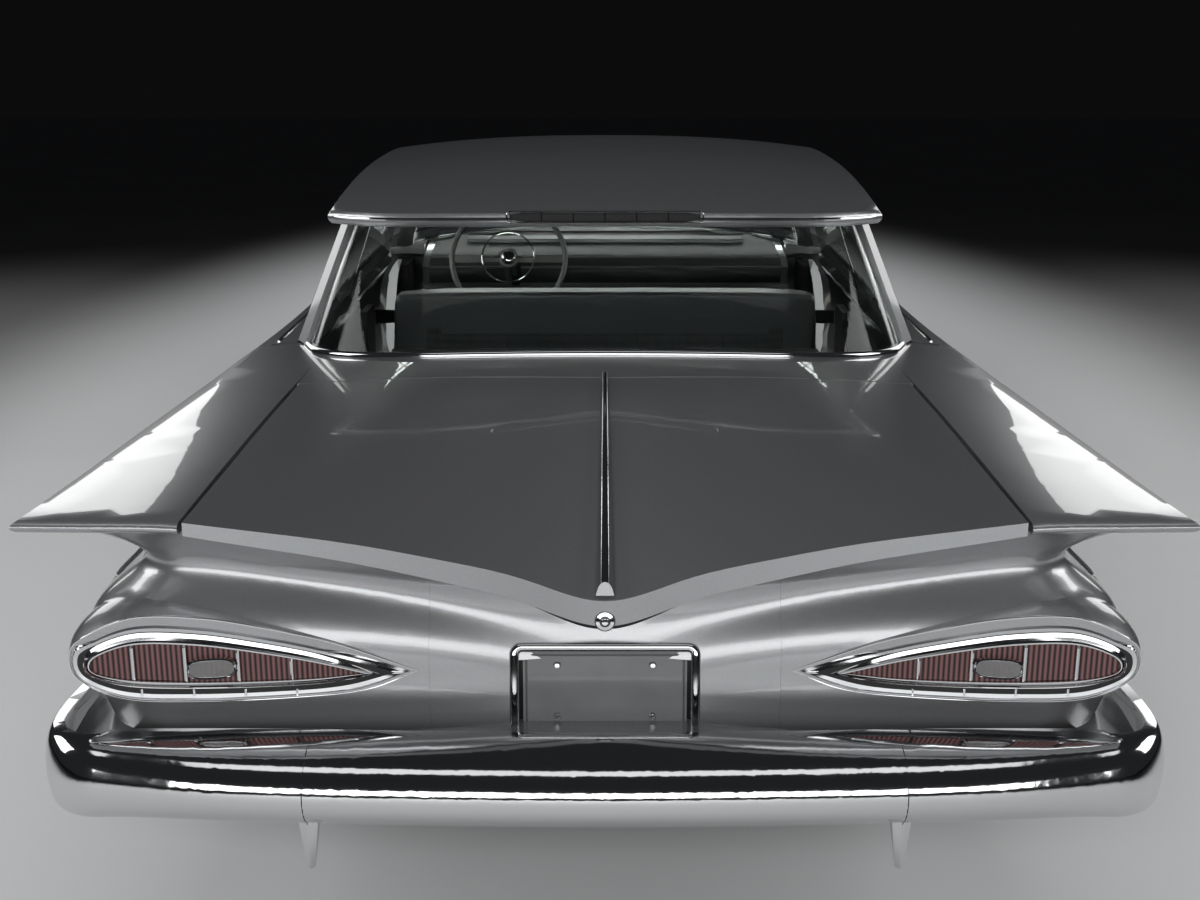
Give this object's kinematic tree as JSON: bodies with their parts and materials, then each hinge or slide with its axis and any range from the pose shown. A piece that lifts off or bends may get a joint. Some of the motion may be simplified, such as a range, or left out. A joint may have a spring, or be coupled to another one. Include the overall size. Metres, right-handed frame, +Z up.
{
  "type": "classic car",
  "caption": "Full-size 1950s four-door hardtop with horizontal tail fins, teardrop tail lamps, a flat cantilevered roof, opening doors and lids, and steered rolling wheels.",
  "frame": {"origin": "on the ground under the centre of the car's bounding box", "axes": "+X to the car's right, +Y the way it drives, +Z up"},
  "size_m": [2.0292, 5.3579, 1.4003],
  "materials": {
    "body_paint": "gloss",
    "chassis_black": "satin",
    "floor_paint": "satin",
    "window_glass": "clear",
    "grille_bright": "polished",
    "bumper_chrome": "polished",
    "lamp_glass": "ribbed",
    "lens_red": "ribbed, gloss",
    "seat_cloth": "woven",
    "engine_iron": "matt",
    "trim_chrome": "polished",
    "wheel_rim_plastic": "gloss",
    "wheel_chrome": "polished",
    "tyre_rubber": "matt"
  },
  "bodies": {
    "root": {"frame": "chassis_black", "floor": "floor_paint", "fender_left": "body_paint", "fender_right": "body_paint", "quarter_left": "body_paint", "quarter_right": "body_paint", "tail_panel": "body_paint", "deck_panel": "body_paint", "roof": "body_paint", "windshield": "window_glass", "rear_window": "window_glass", "grille": "grille_bright", "nose_panel": "body_paint", "front_bumper": "bumper_chrome", "rear_bumper": "bumper_chrome", "headlamps": "lamp_glass", "tail_lamp_left": "lens_red", "tail_lamp_right": "lens_red", "front_seat": "seat_cloth", "rear_seat": "seat_cloth", "cowl": "body_paint", "rear_axle": "chassis_black", "powertrain": "engine_iron"},
    "hood": {"hood": "body_paint"},
    "trunk_lid": {"trunk_lid": "body_paint", "deck_spear": "trim_chrome"},
    "door_front_left": {"door_front_left": "body_paint", "glass_front_left": "window_glass"},
    "door_front_right": {"door_front_right": "body_paint", "glass_front_right": "window_glass"},
    "door_rear_left": {"door_rear_left": "body_paint", "glass_rear_left": "window_glass"},
    "door_rear_right": {"door_rear_right": "body_paint", "glass_rear_right": "window_glass"},
    "steering_wheel": {"steering_wheel": "wheel_rim_plastic"},
    "knuckle_left": {"knuckle_left": "chassis_black"},
    "knuckle_right": {"knuckle_right": "chassis_black"},
    "wheel_front_left": {"wheel_front_left": "wheel_chrome", "tyre_front_left": "tyre_rubber"},
    "wheel_front_right": {"wheel_front_right": "wheel_chrome", "tyre_front_right": "tyre_rubber"},
    "wheel_rear_left": {"wheel_rear_left": "wheel_chrome", "tyre_rear_left": "tyre_rubber"},
    "wheel_rear_right": {"wheel_rear_right": "wheel_chrome", "tyre_rear_right": "tyre_rubber"}
  },
  "joints": [
    {"name": "hood_hinge", "type": "hinge", "parent": "root", "child": "hood", "pos_m": [0, 1.47018, 0.95151], "axis": [1, 0, 0], "range_deg": [0, 50]},
    {"name": "trunk_hinge", "type": "hinge", "parent": "root", "child": "trunk_lid", "pos_m": [0, -1.50249, 0.9598], "axis": [-1, 0, 0], "range_deg": [0, 45]},
    {"name": "door_front_left_hinge", "type": "hinge", "parent": "root", "child": "door_front_left", "pos_m": [-0.971, 0.90333, 0.56], "axis": [0, 0, -1], "range_deg": [0, 65]},
    {"name": "door_front_right_hinge", "type": "hinge", "parent": "root", "child": "door_front_right", "pos_m": [0.971, 0.90333, 0.56], "axis": [0, 0, 1], "range_deg": [0, 65]},
    {"name": "door_rear_left_hinge", "type": "hinge", "parent": "root", "child": "door_rear_left", "pos_m": [-0.971, -0.15736, 0.56], "axis": [0, 0, -1], "range_deg": [0, 65]},
    {"name": "door_rear_right_hinge", "type": "hinge", "parent": "root", "child": "door_rear_right", "pos_m": [0.971, -0.15736, 0.56], "axis": [0, 0, 1], "range_deg": [0, 65]},
    {"name": "steer_left", "type": "hinge", "parent": "root", "child": "knuckle_left", "pos_m": [-0.69, 1.8025, 0.35], "axis": [0, 0, 1], "range_deg": [-30, 30]},
    {"name": "steer_right", "type": "hinge", "parent": "root", "child": "knuckle_right", "pos_m": [0.69, 1.8025, 0.35], "axis": [0, 0, 1], "range_deg": [-30, 30]},
    {"name": "steering_wheel_turn", "type": "hinge", "parent": "root", "child": "steering_wheel", "pos_m": [-0.36522, 0.68783, 0.917], "axis": [0, -0.8829, 0.4695], "range_deg": [-540, 540]},
    {"name": "wheel_front_left_spin", "type": "hinge", "parent": "knuckle_left", "child": "wheel_front_left", "pos_m": [-0.766, 1.8025, 0.35], "axis": [-1, 0, 0], "continuous": true},
    {"name": "wheel_front_right_spin", "type": "hinge", "parent": "knuckle_right", "child": "wheel_front_right", "pos_m": [0.766, 1.8025, 0.35], "axis": [-1, 0, 0], "continuous": true},
    {"name": "wheel_rear_left_spin", "type": "hinge", "parent": "root", "child": "wheel_rear_left", "pos_m": [-0.753, -1.2205, 0.35], "axis": [-1, 0, 0], "continuous": true},
    {"name": "wheel_rear_right_spin", "type": "hinge", "parent": "root", "child": "wheel_rear_right", "pos_m": [0.753, -1.2205, 0.35], "axis": [-1, 0, 0], "continuous": true}
  ],
  "couplings": [
    {"joint": "steer_right", "follows": "steer_left", "ratio": 1},
    {"joint": "steering_wheel_turn", "follows": "steer_left", "ratio": 18}
  ]
}
